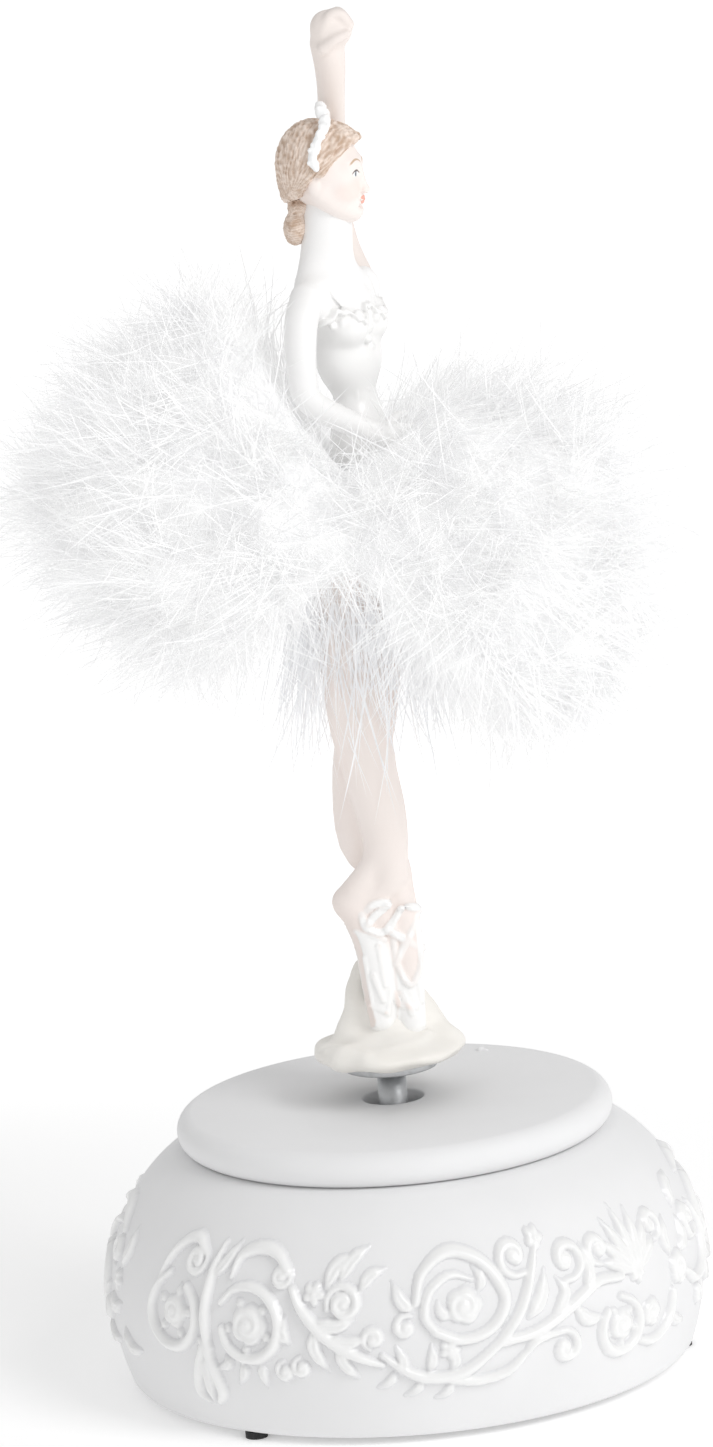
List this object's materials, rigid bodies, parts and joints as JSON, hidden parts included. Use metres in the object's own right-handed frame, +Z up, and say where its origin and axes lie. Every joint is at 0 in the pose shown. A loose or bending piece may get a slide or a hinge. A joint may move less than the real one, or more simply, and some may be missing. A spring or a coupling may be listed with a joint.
{
  "type": "wind-up musical ballerina figurine",
  "caption": "Wind-up musical figurine: a ballerina with a feather tutu turns on a round relief base that holds a comb-and-cylinder movement.",
  "frame": {"origin": "centre of the round base on the surface that its rubber feet stand on, on the axis of the turning spindle", "axes": "+Z up along the spindle; +X the way the dancer's head faces at rest; -Y the side seen from the front"},
  "size_m": [0.116, 0.1044, 0.2342],
  "materials": {
    "bisque_base": "matt",
    "pearl_relief": "pearl satin",
    "fibre_plate": "matt",
    "steel": "satin",
    "rubber": "matt",
    "zinc": "satin",
    "comb_steel": "ground",
    "spring_steel": "blued",
    "brass": "satin",
    "ivory_bisque": "matt",
    "skin_bisque": "matt",
    "white_bisque": "pearl satin",
    "painted_hair": "matt",
    "pearl_white": "pearl satin",
    "satin": "satin",
    "feather": "soft"
  },
  "bodies": {
    "base": {"base_shell": "bisque_base", "plinth_slab": "bisque_base", "relief_frieze": "pearl_relief", "bottom_plate": "fibre_plate", "plate_screws": "steel", "rubber_feet": "rubber", "bedplate": "zinc", "bedplate_screws": "steel", "comb": "comb_steel", "comb_rail": "steel", "comb_screws": "steel", "cylinder_brackets": "brass", "idler_brackets": "brass", "governor_bracket": "brass", "barrel_bridge": "zinc", "bridge_screws": "steel", "click_stud": "steel", "click_spring": "spring_steel"},
    "winding": {"winding_key": "brass", "winding_arbor": "steel", "ratchet_wheel": "steel"},
    "click": {"click_pawl": "steel"},
    "dancer": {"spring_barrel": "brass", "barrel_cover": "brass", "mainspring": "spring_steel", "spindle": "zinc", "turntable_disc": "zinc", "figure_mound": "ivory_bisque", "figure_legs": "skin_bisque", "figure_torso": "white_bisque", "raised_arm": "skin_bisque", "lowered_arm": "skin_bisque", "figure_head": "skin_bisque", "hair": "painted_hair", "headdress": "pearl_white", "waist_band": "satin", "feather_tutu": "feather"},
    "cylinder": {"music_cylinder": "brass", "cylinder_pins": "brass", "cylinder_arbor": "steel", "cylinder_pinion": "brass", "cylinder_wheel": "brass"},
    "idler": {"idler_arbor": "steel", "idler_pinion": "steel", "worm_wheel": "brass"},
    "governor": {"governor_worm": "steel", "air_brake": "steel"}
  },
  "joints": [
    {"name": "winding_spin", "type": "hinge", "parent": "base", "child": "winding", "pos_m": [0, 0, 0.01], "axis": [0, 0, 1], "continuous": true},
    {"name": "click_pivot", "type": "hinge", "parent": "base", "child": "click", "pos_m": [-0.0072, 0.0072, 0.017], "axis": [0, 0, -1], "range_deg": [0, 12], "stiffness_Nm_per_rad": 0.00001},
    {"name": "dancer_spin", "type": "hinge", "parent": "base", "child": "dancer", "pos_m": [0, 0, 0.045], "axis": [0, 0, 1], "continuous": true},
    {"name": "cylinder_spin", "type": "hinge", "parent": "base", "child": "cylinder", "pos_m": [0.022, 0, 0.024], "axis": [1, 0, 0], "continuous": true},
    {"name": "idler_spin", "type": "hinge", "parent": "base", "child": "idler", "pos_m": [0.032, 0.01, 0.024], "axis": [1, 0, 0], "continuous": true},
    {"name": "governor_spin", "type": "hinge", "parent": "base", "child": "governor", "pos_m": [0.0338, 0.0165, 0.024], "axis": [0, 0, 1], "continuous": true}
  ],
  "couplings": [
    {"joint": "cylinder_spin", "follows": "dancer_spin", "ratio": 3.6},
    {"joint": "idler_spin", "follows": "dancer_spin", "ratio": -10.8},
    {"joint": "governor_spin", "follows": "dancer_spin", "ratio": 216}
  ]
}
